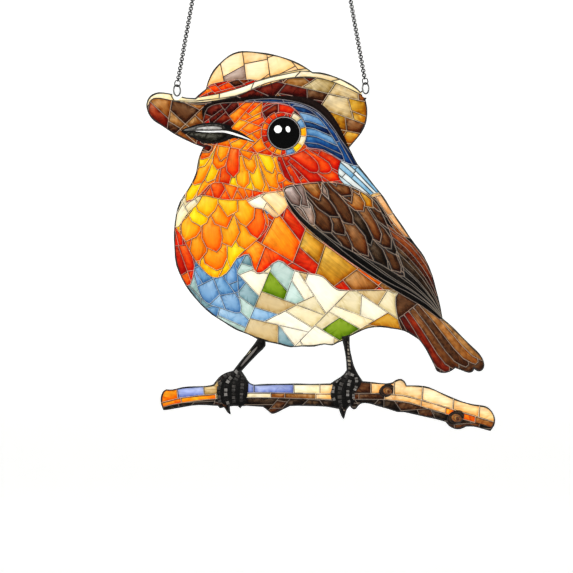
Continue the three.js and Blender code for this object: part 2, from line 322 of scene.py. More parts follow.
region("gold", [(176, 222), (196, 196), (222, 192), (246, 194), (264, 210), (268, 226), (256, 240), (238, 256),
    (226, 273), (212, 277), (198, 264), (190, 252), (182, 236)], lambda edge: plumage(edge, 19, 17, goldAreas, 36,
    turn=92, length=2.0, centre=(218, 90), stray=0.2), "f28c12", "warm", 1.0, 0.8)
region("creamLeft", [(170, 216), (180, 198), (189, 189), (202, 190), (198, 202), (188, 212), (178, 226), (172, 224)],
    lambda edge: shards(edge, 11, mix("cream"), 6, turn=-50, stretch=1.5), "f0e8cc", "cool", 0.8)
region("creamMiddle", [(245, 194), (262, 189), (286, 190), (289, 202), (276, 217), (264, 209), (252, 206)],
    lambda edge: shards(edge, 14, mix("cream", "peach"), 14, turn=40, stretch=1.3), "f3e2b8", "cool", 0.8)

# Throat and cheek feathers
region("throatRow", [(186, 192), (200, 178), (232, 182), (254, 184), (284, 178), (292, 188), (264, 193), (246, 199),
    (222, 199), (204, 195), (188, 198)], lambda edge: shards(edge, 12, mix("orange"), 23, turn=66, stretch=1.6,
    slant=30), "f1600f", "warm", 1.0)
region("throat", [(199, 152), (203, 144), (240, 140), (262, 149), (284, 158), (288, 176), (284, 186), (268, 192),
    (240, 187), (214, 182), (200, 194), (186, 202), (188, 186), (198, 168)], lambda edge: plumage(edge, 15, 11,
    mix("amber", "amber", "orange", "yellow", "yellow"), 5, turn=92, length=2.3, tipWidth=0.34, centre=(234, 98)),
    "ef7a12", "warm", 1.05, 0.9)
region("cheekRow", [(278, 172), (300, 182), (322, 180), (342, 176), (341, 186), (318, 191), (296, 191), (280, 188)],
    lambda edge: plumage(edge, 8, 14, mix("amber", "orange"), 19, turn=78), "f4a42c", "warm")
region("cheek", [(277, 152), (300, 147), (322, 144), (336, 154), (352, 165), (366, 177), (342, 180), (320, 183),
    (302, 185), (284, 177)], lambda edge: plumage(edge, 17, 11, mix("red", "red", "orange"), 7, turn=30, length=2.3,
    centre=(262, 128)), "d23a0c", "warm", 1.25, 0.9)

# Back: pale stripes and a cream edge
patch("stripes", smooth([(338, 168), (346, 152), (358, 160), (374, 180), (388, 199), (374, 206), (354, 192),
    (340, 180)]), bands([(330, 168), (350, 184), (368, 198), (384, 208)], [(346, 148), (362, 164), (378, 184),
    (394, 204)], 5, ["e8ecea", "a8cce0"], 6, cross=2, wobble=0.3, ordered=True), "dbe9ee", "fine", 0.9, 0.5)
patch("creamBack", smooth([(368, 196), (386, 194), (400, 216), (416, 240), (408, 244), (394, 234), (376, 214)]),
    bands([(368, 198), (388, 226), (408, 246)], [(388, 192), (402, 214), (418, 240)], 3, ["a06a38", "e6bc8c",
    "f0e4c4"], 12, cross=1, wobble=0.4, ordered=True), "e9c88f", "cool", 1.0, 1.2)

# Tail: an even fan of feathers
fan = {"count": 6, "roots": ((401, 316), (424, 298)), "tips": ((438, 374), (486, 360)), "width": 17}
tailColours = mix("maroon", "brown", "tan", "chestnut")
tailRng = random.Random(8)
tailTiles = []
for k in range(fan["count"]):
    root, tip = (between(*fan[end], k / (fan["count"] - 1)) for end in ("roots", "tips"))
    lean = math.degrees(math.atan2(tip[1] - root[1], tip[0] - root[0]))
    tailTiles.append((feather(root, tip, fan["width"], -2, 0.3, 0.5), tailColours[k % len(tailColours)],
        lean + tailRng.uniform(-6, 6)))
patch("tail", smooth([(398, 292), (424, 298), (444, 320), (470, 344), (486, 362), (480, 374), (460, 372), (438, 376),
    (422, 350), (404, 334), (396, 312)]), tailTiles, "5c3a22", "silver", 0.7, 2.2)

# Folded wing: long flight feathers run together at its tip, coverts lie over them
wingLower = smooth([(304, 218), (330, 240), (352, 258), (384, 280), (406, 291), (428, 305), (445, 321)], closed=False,
    cuts=4)
wingUpper = smooth([(352, 190), (380, 212), (400, 228), (416, 240), (432, 264), (440, 290), (445, 321)], closed=False,
    cuts=4)
patch("wing", smooth([(284, 190), (300, 184), (330, 182), (352, 188), (376, 200), (396, 232), (414, 240), (430, 262),
    (438, 290), (444, 320), (420, 305), (384, 284), (350, 262), (316, 236), (292, 212)]), bands(wingLower, wingUpper,
    12, mix("ink", "ink", "umber", "chestnut"), 15, wobble=0.3, ordered=True), "1f1b18", "flight", 0.7, 1.6)
covertAreas = [(308, 200, mix("brown", "tan", "grey", "ochre")), (350, 208, mix("tan", "ochre", "brown")), (368, 245,
    mix("umber", "brown"))]
region("coverts", [(283, 190), (298, 184), (330, 182), (352, 187), (372, 199), (384, 218), (394, 244), (404, 276),
    (382, 265), (360, 255), (340, 245), (324, 234), (310, 224), (296, 210)], lambda edge: plumage(edge, 23, 12,
    covertAreas, 12, turn=54, length=2.1, stray=0.16), "5a4030", "covert", 1.2, 2.6)

# Hat underside, behind the head
region("underLeft", [(140, 104), (150, 96), (172, 100), (196, 104), (216, 102), (224, 108), (216, 124), (206, 130),
    (200, 142), (212, 146), (203, 152), (170, 134), (146, 116)], lambda edge: shards(edge, 17, mix("tan", "tan",
    "brown", "maroon"), 5, turn=30, stretch=1.5), "7d5a2a", "silver", 1.2, 1.2)
underAreas = [(280, 88, mix("maroon", "tan")), (340, 92, mix("tan", "sand", "brown")), (354, 125, mix("brown",
    "ochre"))]
region("underRight", [(236, 94), (262, 84), (300, 74), (332, 78), (354, 90), (368, 102), (368, 124), (360, 138),
    (346, 152), (338, 140), (330, 118), (308, 104), (280, 100), (250, 100)], lambda edge: shards(edge, 17, underAreas,
    34, turn=24, stretch=1.8, slant=28), "a5824a", "silver", 1.1, 1.4)
shape("shadow", smooth([(202, 116), (204, 105), (222, 100), (250, 96.5), (280, 95.5), (306, 97), (324, 106),
    (338, 124), (348, 146), (352, 158), (344, 150), (334, 130), (322, 114), (304, 104), (272, 101), (240, 103),
    (222, 108), (208, 122)]), "1c110e", "none", 0, 0.3)

# Head: forehead tiles, brow, eye, nape
patch("nape", smooth([(244, 101), (270, 98.5), (292, 101), (309, 106), (320, 113), (331, 125), (341, 140), (354, 158),
    (358, 166), (340, 160), (322, 149), (304, 146), (300, 130), (300, 116), (290, 106), (270, 103)]),
    bands([(250, 97), (292, 98), (322, 108), (340, 130), (360, 166)], [(262, 106), (300, 107), (316, 118), (330, 136),
    (346, 164)], 2, mix("navy"), 15, cross=2, ordered=True), "2f5f94", "silver", 1.0, 0.8)
patch("napeSide", smooth([(292, 106), (306, 108), (318, 117), (330, 133), (344, 160), (324, 150), (304, 146),
    (300, 130)]), bands([(288, 104), (308, 108), (334, 118)], [(298, 148), (320, 150), (350, 164)], 6, mix("navy",
    "navy", "blue"), 3, wobble=0.3), "2f5f94", "silver", 0.9, 0.6)
headAreas = [(215, 112, mix("red", "maroon")), (245, 122, mix("amber", "orange")), (282, 112, mix("red", "orange"))]
region("head", [(205, 112), (216, 104), (240, 102), (270, 102), (290, 106), (300, 116), (302, 140), (306, 148),
    (284, 156), (262, 154), (236, 148), (204, 140)], lambda edge: shards(edge, 11, headAreas, 41, turn=-36,
    stretch=1.8), "d8560f", "warm", 1.2)
patch("brow", smooth([(262, 108), (275, 103), (288, 105), (298, 113), (303, 121), (293, 115), (280, 112), (268, 117),
    (264, 119)]), bands([(262, 112), (276, 103), (292, 106), (304, 120)], [(266, 119), (278, 112), (290, 114),
    (300, 122)], 1, mix("red", "maroon"), 5, cross=2), "b0180c", "silver", 1.1)

# Eye: a ring of orange tiles in front, pale ones behind, and a black pupil
eye = {"x": 283.5, "y": 132.8, "pupil": 15.7, "ring": 22.6, "front": (98, 246, 8), "behind": (-66, 84, 6)}
eyeRng = random.Random(4)
for part, colours in (("front", mix("orange", "amber", "red")), ("behind", mix("cream", "yellow", "blue"))):
    first, last, count = eye[part]
    for k in range(count):
        angles = [math.radians(first + (last - first) * (k + j / 4) / count) for j in range(5)]
        outer = [(eye["x"] + eye["ring"] * math.cos(a), eye["y"] + eye["ring"] * math.sin(a)) for a in angles]
        inner = [(eye["x"] + 15 * math.cos(a), eye["y"] + 15 * math.sin(a)) for a in reversed(angles)]
        shape("%sRing%d" % (part, k), outer + inner, eyeRng.choice(colours), "warm", 0, 1.0)
for name, x, y, rx, ry, turn, colour in (("eyeRim", 0, 0, 17.3, 17.3, 0, "1c1715"), ("eyeSilver", 0, 0, 16.5, 16.5, 0,
    "8f8b88"), ("eyeBlack", 0, 0, 15.7, 15.7, 0, "030303"), ("gleam", -6, -4, 3.8, 3.8, 0, "ffffff"), ("gleamSmall",
    4, -4, 2.2, 3.1, -18, "ffffff")):
    shape(name, ellipse(eye["x"] + x, eye["y"] + y, rx, ry, turn), colour, "none", shade=0.0, grain=0.0)

# Beak
shape("beakOutline", smooth([(180.5, 130.4), (190, 126), (200, 123.2), (212, 122), (224, 123.6), (230, 128),
    (238, 130.6), (246, 135.4), (254.5, 141.6), (246, 140.2), (234, 137.8), (228, 139.8), (220, 142.4), (209, 143.6),
    (198, 140.6), (188, 135.4)]), "151312", "none", shade=0.0)
shape("beakLower", smooth([(185, 131.8), (198, 132.4), (212, 132.4), (226, 134), (223, 138.4), (214, 141.4),
    (203, 139.8), (193, 136)]), "45433a", "none", 0, 1.3)
shape("beakUpper", smooth([(183, 130), (194, 126.4), (204, 124.2), (216, 124), (224, 126.4), (221, 129.8),
    (208, 130.4), (194, 130.6)]), "85827e", "none", 0, 1.2)
shape("beakShine", smooth([(196, 128), (206, 126.2), (218, 126.4), (221, 128.6), (208, 129)]), "d4d2cf", "none", 0,
    1.2)
shape("beakEdge", smooth([(195, 130.7), (212, 130.5), (225, 130.3), (236, 133.2), (246, 137.2), (253.5, 141.2),
    (242, 137.2), (231, 134), (222, 132), (208, 132)]), "efeeec", "none", shade=0.0)
shape("nostril", ellipse(227.8, 126.8, 4.6, 2.0, 32, 12), "0b0a0a", "none", shade=0.0)

# Hat: crown, band, brim
crownAreas = [(214, 76, mix("peach", "grey", "amber")), (262, 66, mix("peach"))]
region("crown", [(200, 92), (211, 73), (220, 61), (233, 53), (247, 49), (262, 51), (284, 55), (306, 66), (322, 77),
    (290, 78), (262, 86), (240, 90), (216, 94)], lambda edge: shards(edge, 26, crownAreas, 17, turn=-30, stretch=1.2,
    slant=30), "f7d7a4", "fine", 0.8, 0.4)
region("band", [(192, 98), (205, 88), (214, 83), (236, 79.5), (256, 80), (260, 86), (238, 93), (212, 98)],
    lambda edge: shards(edge, 8, mix("chestnut", "orange", "red"), 22, turn=-16, stretch=2.2), "a5380f", "warm", 1.2,
    1.6)
patch("brim", smooth([(141, 106), (146, 96), (157, 90), (171, 93), (190, 97), (206, 95.6), (226, 91.4), (246, 85),
    (264, 78), (290, 71), (314, 68), (338, 74), (358, 88), (370, 100), (358, 93), (340, 84.5), (322, 78.5),
    (300, 76.6), (272, 81), (252, 88.6), (236, 96), (206, 101.6), (182, 102), (160, 98), (151, 99.5), (146, 108)]),
    bands([(141, 102), (152, 90), (190, 97), (226, 91.4), (264, 78), (314, 68), (358, 86), (370, 100)], [(147, 108),
    (156, 98), (184, 102), (236, 96), (272, 81), (322, 78.5), (340, 84.5), (360, 95)], 1, ["fbeccb", "fdf4de"], 3,
    cross=5), "fbecc8", "fine", 1.1, 0.3)

# Legs
shape("leftLeg", [(252, 335), (268, 340), (267, 346), (252, 361), (241, 373), (230, 370), (238, 363), (250, 351)],
    "201e1c", "none", 50, 0.7)
shape("leftLegShine", petal((257, 346), (240, 366), 2.4, 0.5), "7d7874", "none", 50, 0.3)
shape("rightLeg", [(341, 336), (351, 334), (351.5, 352), (354, 366), (360, 376), (342, 378), (346, 364), (344, 350)],
    "242220", "none", 85, 0.7)
for k in range(9):
    y = 341 + k * 3.6
    shape("scute%d" % k, [(346.8, y), (349.8, y + 0.4), (350.2, y + 2.6), (347.2, y + 2.3)], ("8c8478", "6d675e",
        "a59c8c")[k % 3], "none", 0, 0.3)

# Branch: dark bark with pale glass along its top
region("bark", [(154, 400), (160, 384), (190, 380), (216, 378), (260, 378), (330, 377), (380, 376), (404, 372),
    (440, 380), (470, 396), (502, 408), (500, 434), (460, 436), (430, 424), (390, 416), (340, 410), (280, 416),
    (220, 410), (180, 412), (156, 414)], lambda edge: shards(edge, 10, mix("umber", "umber", "brown"), 31, turn=4,
    stretch=2.6), "33241a", "warm", 1.2, 3.0)
barkUpper = smooth([(156, 390), (176, 384), (240, 380), (330, 379), (396, 377), (440, 388), (496, 406)], closed=False,
    cuts=4)
barkLower = smooth([(158, 408), (184, 402), (240, 397), (330, 399), (396, 400), (440, 412), (494, 428)], closed=False,
    cuts=4)
barkGlass = [(x, mix(*names)) for x, names in ((180, ("amber", "amber", "sand", "lilac")), (250, ("cream", "lilac",
    "tan")), (330, ("peach", "cream", "brown")), (400, ("sand", "umber", "peach")), (475, ("peach", "amber", "tan")))]
barkRng = random.Random(11)
barkTiles = []
for tile, colour, turn in bands(barkUpper, barkLower, 2, mix("cream"), 26, cross=12, wobble=0.9):
    part = min(barkGlass, key=lambda spot: abs(spot[0] - tile[0][0]))
    barkTiles.append((tile, barkRng.choice(part[1]), turn))
patch("branchGlass", barkUpper + barkLower[::-1], barkTiles, "5c4830", "pale", 1.0, 1.0)
knotTones = mix("umber", "tan", "brown")
for name, x, y, radius in (("upperKnot", 386, 390, 8), ("lowerKnot", 455, 417, 9)):
    for k in range(5):
        share = 1 - k / 5
        shape("%s%d" % (name, k), ellipse(x + 0.5 * k, y + 0.3 * k, radius * share, radius * share * 0.74,
            26 * k - 30, 18), knotTones[k], "hair", 0, 0.5)

# Feet: banded toes over the branch
footLook = {"bands": ["4a4846", "75726e", "33312f", "8b8884", "55524f", "262423"], "steps": 9, "gap": 0.26,
    "lit": 0.7}


def toe(name, line, width, claw):
    # a bent toe in bands, ending in a claw
    line = smooth(line, closed=False, cuts=6)
    steps = footLook["steps"]
    for k in range(steps):
        a, b = along(line, k / steps), along(line, (k + 1 - footLook["gap"]) / steps)
        length = math.dist(a, b) or 1
        nx, ny = -(b[1] - a[1]) / length, (b[0] - a[0]) / length
        lit = (k * 2 + len(name)) % 6
        half = width / 2 * (1 - 0.25 * k / steps)
        left = footLook["lit"] if lit in (1, 3) else 1.0
        quad = [(a[0] + nx * half * left, a[1] + ny * half * left), (b[0] + nx * half * left,
            b[1] + ny * half * left), (b[0] - nx * half * 0.9, b[1] - ny * half * 0.9), (a[0] - nx * half * 0.9,
            a[1] - ny * half * 0.9)]
        shape("%sBand%d" % (name, k), quad, footLook["bands"][lit], "none", 0, 0.3)
    shape(name + "Claw", feather(line[-1], claw, width, 0.8, 0.9, 0.1), "141312", "none", 90, 0.3)


shape("leftFoot", smooth([(216, 392), (221, 379), (232, 369), (244, 371), (248, 384), (245, 403), (238, 407),
    (223, 404)]), "151413", "none", 90, 0.2)
shape("rightFoot", smooth([(330, 392), (336, 380), (346, 370), (358, 372), (361, 382), (354, 394), (352, 405),
    (344, 408), (333, 402)]), "151413", "none", 90, 0.2)
toe("leftToeA", [(234, 370), (221, 379), (218, 392), (220, 404)], 4.4, (221.5, 406.5))
toe("leftToeBc", [(237, 370), (227, 381), (225, 394), (228, 405)], 4.6, (232.5, 415.5))
toe("leftToeC", [(240, 371), (234, 382), (233, 394), (234, 403)], 4.2, (238, 407))
toe("leftToeDef", [(243, 373), (242, 384), (241, 394), (241, 402)], 4.0, (240, 407.5))
toe("rightToeA", [(346, 372), (335, 381), (332, 392), (334, 401)], 4.4, (337.5, 406.5))
toe("rightToeBc", [(350, 372), (341, 383), (339, 396), (341, 408)], 4.6, (343.4, 419.6))
toe("rightToeC", [(352, 373), (348, 384), (347, 396), (349, 403)], 4.2, (350.5, 408))
toe("rightToeDef", [(355, 374), (356, 384), (353, 392), (353, 399)], 4.0, (352, 404))
print("picture: %d patches, %d tiles" % (len(patches), sum(len(p["tiles"]) for p in patches)))


# From the drawing to meshes

printLook = {
    "margin": 0.9,  # clear acrylic left round the print, in drawing units
    "holeMargin": 1.2,
    "ear": 5.6, "earsAbove": 120,  # bare acrylic round a ring's hole, and how low such holes can lie
    "bareRim": 4.6,  # no rim line this near to a ring's hole
    "coreShift": (-0.24, 0.24),  # the light core of a line lies up and to the left
    "coreTone": (0.15, 0.12, 0.09), "coreTint": 0.66, "coreGain": 0.08,
    "darkTone": 0.004, "darkPower": 1.25,
    "swell": 0.22, "swellRate": 0.21,  # how much and how fast a line's width wanders
    "grid": 2.4,  # spacing of the points that carry shading
    "lines": {  # width of the dark line, width of the light core, how dark the line is
        "warm": (1.1, 0.3, 0.04), "cool": (1.15, 0.34, 0.04), "silver": (1.55, 0.42, 0.01), "pale": (1.5, 0.36, 0.02),
        "fine": (1.0, 0.0, 0.04), "hair": (0.6, 0.0, 0.1), "none": (0.0, 0.0, 0.0), "rim": (1.5, 0.0, 0.015),
        "covert": (2.1, 0.46, 0.005), "flight": (1.3, 0.34, 0.01),
    },
    "film": 0.00003,  # thickness of the ink, in metres
    "gap": 0.00003,
    "levels": 9,  # lines that meet lie at slightly different depths
    "levelStep": 0.0000015,
    "darkLift": 0.00001, "backLift": 0.000005, "coreLift": 0.00003,  # how far the lines lie off the film
}
panelNode = bpy.data.objects["panel"]
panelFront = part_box("panel")[0][1]


def area(loop):
    return sum(a[0] * b[1] - b[0] * a[1] for a, b in zip(loop, loop[1:] + loop[:1])) / 2


def openEdges(faces):
    # the edges that only one face has, in the face's direction, each with that face's owner
    edges = {}
    for face, owner in faces:
        for a, b in zip(face, face[1:] + face[:1]):
            if (b, a) in edges:
                del edges[(b, a)]
            else:
                edges[(a, b)] = owner
    return edges


def frontLoops():
    # the edges of the sheet's front face, as loops in drawing units
    mesh = panelNode.data
    spots = [(round(v.co.x, 6), round(v.co.z, 6)) for v in mesh.vertices]
    front = [([spots[i] for i in polygon.vertices], True) for polygon in mesh.polygons if polygon.normal.y <= -0.9]
    following = {a: b for a, b in openEdges(front)}
    loops = []
    while following:
        start = next(iter(following))
        loop, spot = [], start
        while spot in following:
            loop.append(spot)
            spot = following.pop(spot)
        loops.append([(x / unit + hookSpot[0], hookSpot[1] - z / unit) for x, z in loop])
    return sorted(loops, key=lambda loop: -abs(area(loop)))


def moved(loop, distance):
    # a loop moved inwards by distance (outwards if negative)
    if area(loop) < 0:
        loop = loop[::-1]
    result = []
    count = len(loop)
    for i in range(count):
        a, b, c = loop[i - 1], loop[i], loop[(i + 1) % count]
        d0, d1 = math.dist(a, b) or 1, math.dist(b, c) or 1
        n0 = (-(b[1] - a[1]) / d0, (b[0] - a[0]) / d0)
        n1 = (-(c[1] - b[1]) / d1, (c[0] - b[0]) / d1)
        nx, ny = n0[0] + n1[0], n0[1] + n1[1]
        size = max(0.35, (nx * nx + ny * ny) / 2)
        result.append((b[0] + nx / size * distance, b[1] + ny / size * distance))
    return result


loops = frontLoops()
print("sheet: %d loops of %s points" % (len(loops), [len(loop) for loop in loops]))
sheetLoop = moved(loops[0], printLook["margin"])
openings = [moved(loop, -printLook["holeMargin"]) for loop in loops[1:]]

# Everything goes into one flat triangulation; each triangle then belongs to the topmost tile over it.
points, faces, faceKind = [], [], []


def addFace(loop, kind):
    flipped = [(x, -y) for x, y in loop]
    if area(flipped) < 0:
        flipped.reverse()
    start = len(points)
    points.extend(Vector(p) for p in flipped)
    faces.append(list(range(start, start + len(flipped))))
    faceKind.append(kind)


earSpots = []
addFace(sheetLoop, ("sheet",))
for loop in openings:
    addFace(loop, ("opening",))
    x, y = sum(p[0] for p in loop) / len(loop), sum(p[1] for p in loop) / len(loop)
    if y < printLook["earsAbove"]:
        earSpots.append((x, -y))
        addFace(ellipse(x, y, printLook["ear"], sides=24), ("ear",))
for order, item in enumerate(patches):
    addFace(item["outline"], ("patch", order))
    for rank, (tile, colour, turn) in enumerate(item["tiles"]):
        if len(item["tiles"]) > 1 or tile is not item["outline"]:
            addFace(tile, ("tile", order, rank))
rng = random.Random(1)
xs, ys = [p[0] for p in sheetLoop], [p[1] for p in sheetLoop]
step = printLook["grid"]
for row in range(int((max(ys) - min(ys)) / step)):
    for column in range(int((max(xs) - min(xs)) / step)):
        points.append(Vector((min(xs) + (column + rng.uniform(-0.3, 0.3)) * step,
                              -(min(ys) + (row + rng.uniform(-0.3, 0.3)) * step))))
flat = delaunay_2d_cdt(points, [], faces, 1, 1e-3, True)
flatPoints, flatFaces, flatSources = flat[0], flat[2], flat[5]
print("triangulation: %d points, %d triangles" % (len(flatPoints), len(flatFaces)))

shadeLook = {"reach": 5.5, "edge": 0.92, "bevel": 0.62, "fade": 0.42, "dim": 0.17, "light": (-0.6, 0.8),
             "fadeTurns": (90, 60, 130, 150, 110), "fadeSpread": 25, "lift": 0.07}
owners = []
for sources in flatSources:
    kinds = [faceKind[s] for s in sources]
    owner = None
    if ("sheet",) in kinds and ("opening",) not in kinds:
        covered = sorted((k[1] for k in kinds if k[0] == "patch"), reverse=True)
        if covered and not (("ear",) in kinds and covered[0] == 0):
            order = covered[0]
            ranks = [k[2] for k in kinds if k[0] == "tile" and k[1] == order]
            owner = (order, max(ranks) if ranks else -1)
            if len(patches[order]["tiles"]) == 1 and not ranks:
                owner = (order, 0)
    owners.append(owner)

edgeOwners = {}
for face, owner in zip(flatFaces, owners):
    for a, b in zip(face, face[1:] + face[:1]):
        edgeOwners.setdefault((min(a, b), max(a, b)), []).append(owner)
borders = []
sidesOf = {}
for (a, b), sides in edgeOwners.items():
    sides = sides + [None] * (2 - len(sides))
    if sides[0] == sides[1]:
        continue
    kept = [s for s in sides if s is not None]
    kind = "rim" if len(kept) < 2 else patches[max(kept)[0]]["line"]
    if kind == "rim" and any((flatPoints[a] - Vector(spot)).length < printLook["bareRim"] for spot in earSpots):
        kind = "none"
    borders.append((a, b, kind))
    sidesOf[(a, b)] = sidesOf[(b, a)] = kept

# Shading: each tile darkens towards its edges, is lighter on its upper left, and fades along its length.
edgeTree = kdtree.KDTree(len(borders))
for index, (a, b, kind) in enumerate(borders):
    middle = (flatPoints[a] + flatPoints[b]) / 2
    edgeTree.insert((middle.x, middle.y, 0), index)
edgeTree.balance()
shadeOf = []
for p in flatPoints:
    near, index, distance = edgeTree.find((p.x, p.y, 0))
    away = Vector((p.x - near.x, p.y - near.y))
    tilt = away.normalized().dot(Vector(shadeLook["light"])) if away.length > 1e-6 else 0.0
    depth = 1 - min(distance / shadeLook["reach"], 1.0)
    shadeOf.append((depth * depth, -tilt * depth))

tileSpots = {}
for face, owner in zip(flatFaces, owners):
    if owner:
        tileSpots.setdefault(owner, []).extend(flatPoints[i] for i in face)
colourCache = {}


def lookOf(owner):
    # one tile's linear colour, middle, size, grain offset and direction, and fading direction
    if owner not in colourCache:
        order, rank = owner
        item = patches[order]
        hexColour, turn = (item["base"], 0.0) if rank < 0 else item["tiles"][rank][1:]
        rng = random.Random(order * 1000 + rank + 7)
        spots = tileSpots[owner]
        middle = sum(spots, Vector((0, 0))) / len(spots)
        size = max(3.0, max((p - middle).length for p in spots))
        fadeSpread = shadeLook["fadeSpread"]
        fade = math.radians(rng.choice(shadeLook["fadeTurns"]) + rng.uniform(-fadeSpread, fadeSpread))
        lift = 1 + rng.uniform(-shadeLook["lift"], shadeLook["lift"])
        colour = [min(1.0, channel * lift) for channel in linear(hexColour)]
        colourCache[owner] = (colour, middle, size, rng.uniform(0, 60), rng.uniform(0, 60), math.radians(turn),
                              Vector((math.cos(fade), math.sin(fade))))
    return colourCache[owner]


def shadedColour(owner, i):
    # darker glass has a deeper hue as well, so shading raises each channel to a power
    colour, middle, size = lookOf(owner)[:3]
    dark, tilt = shadeOf[i]
    lengthwise = (flatPoints[i] - middle).dot(lookOf(owner)[6]) / size
    strength = patches[owner[0]]["shade"]
    power = 1 + strength * (shadeLook["edge"] * dark - shadeLook["bevel"] * tilt - shadeLook["fade"] * lengthwise)
    gain = 1 - strength * shadeLook["dim"] * dark
    return [gain * max(channel, 0.001) ** max(0.4, power) for channel in colour]


def meshPiece(name, verts, polys, material, smoothShading=False):
    mesh = bpy.data.meshes.new(name)
    mesh.from_pydata(verts, [], polys)
    mesh.materials.append(material)
    if smoothShading:
        mesh.shade_smooth()
    mesh.update()
    piece = bpy.data.objects.new(name, mesh)
    bpy.context.collection.objects.link(piece)
    return piece


# Materials

def material(name, baseColour, roughness, metallic=0.0, **others):
    made = bpy.data.materials.new(name)
    made.use_nodes = True
    shader = made.node_tree.nodes["Principled BSDF"]
    shader.inputs["Base Color"].default_value = (*linear(baseColour), 1)
    shader.inputs["Roughness"].default_value = roughness
    shader.inputs["Metallic"].default_value = metallic
    for key, value in others.items():
        shader.inputs[key].default_value = value
    return made, made.node_tree, shader


def nodeGroup(name, inputs, outputs):
    # an empty shader group with named sockets, and the sockets at its inner ends
    group = bpy.data.node_groups.new(name, "ShaderNodeTree")
    for label, kind, value in inputs:
        socket = group.interface.new_socket(name=label, in_out="INPUT", socket_type="NodeSocket" + kind)
        socket.default_value = value
    for label, kind in outputs:
        group.interface.new_socket(name=label, in_out="OUTPUT", socket_type="NodeSocket" + kind)
    return group, group.nodes.new("NodeGroupInput").outputs, group.nodes.new("NodeGroupOutput").inputs


def fill(tree, node, values):
    # each input of the node gets a link if its value is a socket, or else the value itself
    for key, value in values.items():
        if isinstance(value, bpy.types.NodeSocket):
            tree.links.new(value, node.inputs[key])
        else:
            node.inputs[key].default_value = value
    return node.outputs


def addNode(tree, kind, values, operation=None):
    node = tree.nodes.new("ShaderNode" + kind)
    if operation:
        node.operation = operation
    return fill(tree, node, values)


def glassStreakGroup():
    # long streaks and faint clouds, as in drawn art glass
    look = {"stretch": (0.045, 0.42, 1), "detail": 4, "roughness": 0.62, "distortion": 0.7, "cloudScale": 0.09,
            "cloudDetail": 2}
    group, entry, leave = nodeGroup("glassStreak", (
        ("Colour", "Color", (0.8, 0.8, 0.8, 1)), ("Place", "Vector", (0, 0, 0)), ("Streak Scale", "Float", 1.0),
        ("Strength", "Float", 0.3)), (("Colour", "Color"),))
    stretched = addNode(group, "Mapping", {"Vector": entry["Place"], "Scale": look["stretch"]})
    streaks = addNode(group, "TexNoise", {"Vector": stretched["Vector"], "Scale": entry["Streak Scale"],
                                          "Detail": look["detail"], "Roughness": look["roughness"],
                                          "Distortion": look["distortion"]})
    clouds = addNode(group, "TexNoise", {"Vector": entry["Place"], "Scale": look["cloudScale"],
                                         "Detail": look["cloudDetail"]})
    blend = addNode(group, "Math", {0: streaks["Fac"], 1: clouds["Fac"]}, "ADD")
    centred = addNode(group, "Math", {0: blend[0], 1: 1.0}, "SUBTRACT")
    gain = addNode(group, "Math", {0: centred[0], 1: entry["Strength"], 2: 1.0}, "MULTIPLY_ADD")
    tint = addNode(group, "VectorMath", {0: entry["Colour"], "Scale": gain[0]}, "SCALE")
    group.links.new(tint["Vector"], leave["Colour"])
    return group


def wireWearGroup():
    # fine drawn lines and handling marks on wire
    look = {"detail": 3, "dirt": (0.03, 0.03, 0.032, 1), "roughening": 0.25}
    group, entry, leave = nodeGroup("wireWear", (
        ("Colour", "Color", (0.5, 0.5, 0.5, 1)), ("Grain", "Float", 2500.0), ("Strength", "Float", 0.3),
        ("Roughness", "Float", 0.3)), (("Colour", "Color"), ("Roughness", "Float")))
    where = addNode(group, "TexCoord", {})
    grain = addNode(group, "TexNoise", {"Vector": where["Object"], "Scale": entry["Grain"], "Detail": look["detail"]})
    factor = addNode(group, "Math", {0: grain["Fac"], 1: entry["Strength"]}, "MULTIPLY")
    darken = group.nodes.new("ShaderNodeMix")
    darken.data_type = "RGBA"
    fill(group, darken, {"Factor": factor[0], "A": entry["Colour"], "B": look["dirt"]})
    rough = addNode(group, "Math", {0: grain["Fac"], 1: look["roughening"], 2: entry["Roughness"]}, "MULTIPLY_ADD")
    group.links.new(darken.outputs["Result"], leave["Colour"])
    group.links.new(rough[0], leave["Roughness"])
    return group


glassStreak = glassStreakGroup()
wireWear = wireWearGroup()

filmLook = {"passes": 0.3, "roughness": 0.2, "streakScale": 1.0, "streaks": 0.8}


def attribute(tree, name):
    node = tree.nodes.new("ShaderNodeAttribute")
    node.attribute_name = name
    return node.outputs


def useGroup(made, tree, shader, group, values, outputs):
    # adds the group with these inputs and feeds its outputs to the shader's inputs of the given names
    node = tree.nodes.new("ShaderNodeGroup")
    node.node_tree = group
    results = fill(tree, node, values)
    fill(tree, shader, {target: results[source] for source, target in outputs})
    return made


def printedFilm():
    made, tree, shader = material("printedFilm", "d98a30", filmLook["roughness"], **{
        "Transmission Weight": filmLook["passes"], "IOR": 1.3, "Specular IOR Level": 0.25})
    place = tree.nodes.new("ShaderNodeUVMap")
    place.uv_map = "grain"
    return useGroup(made, tree, shader, glassStreak, {
        "Streak Scale": filmLook["streakScale"], "Colour": attribute(tree, "tileColour")["Color"],
        "Strength": attribute(tree, "grainStrength")["Fac"], "Place": place.outputs["UV"]}, (("Colour", "Base Color"),))


def ink(name, baseColour, roughness):
    # opaque ink, with its colour kept in the mesh
    made, tree, shader = material(name, baseColour, roughness, **{"Specular IOR Level": 0.3})
    tree.links.new(attribute(tree, "tileColour")["Color"], shader.inputs["Base Color"])
    return made


filmMaterial = printedFilm()
lineMaterial = ink("darkInk", "17110d", 0.4)
coreMaterial = ink("silverInk", "cdbfb6", 0.35)


def wire(name, colour, roughness, strength):
    return useGroup(*material(name, colour, roughness, 1.0), wireWear, {
        "Colour": (*linear(colour), 1), "Strength": strength, "Roughness": roughness},
        (("Colour", "Base Color"), ("Roughness", "Roughness")))


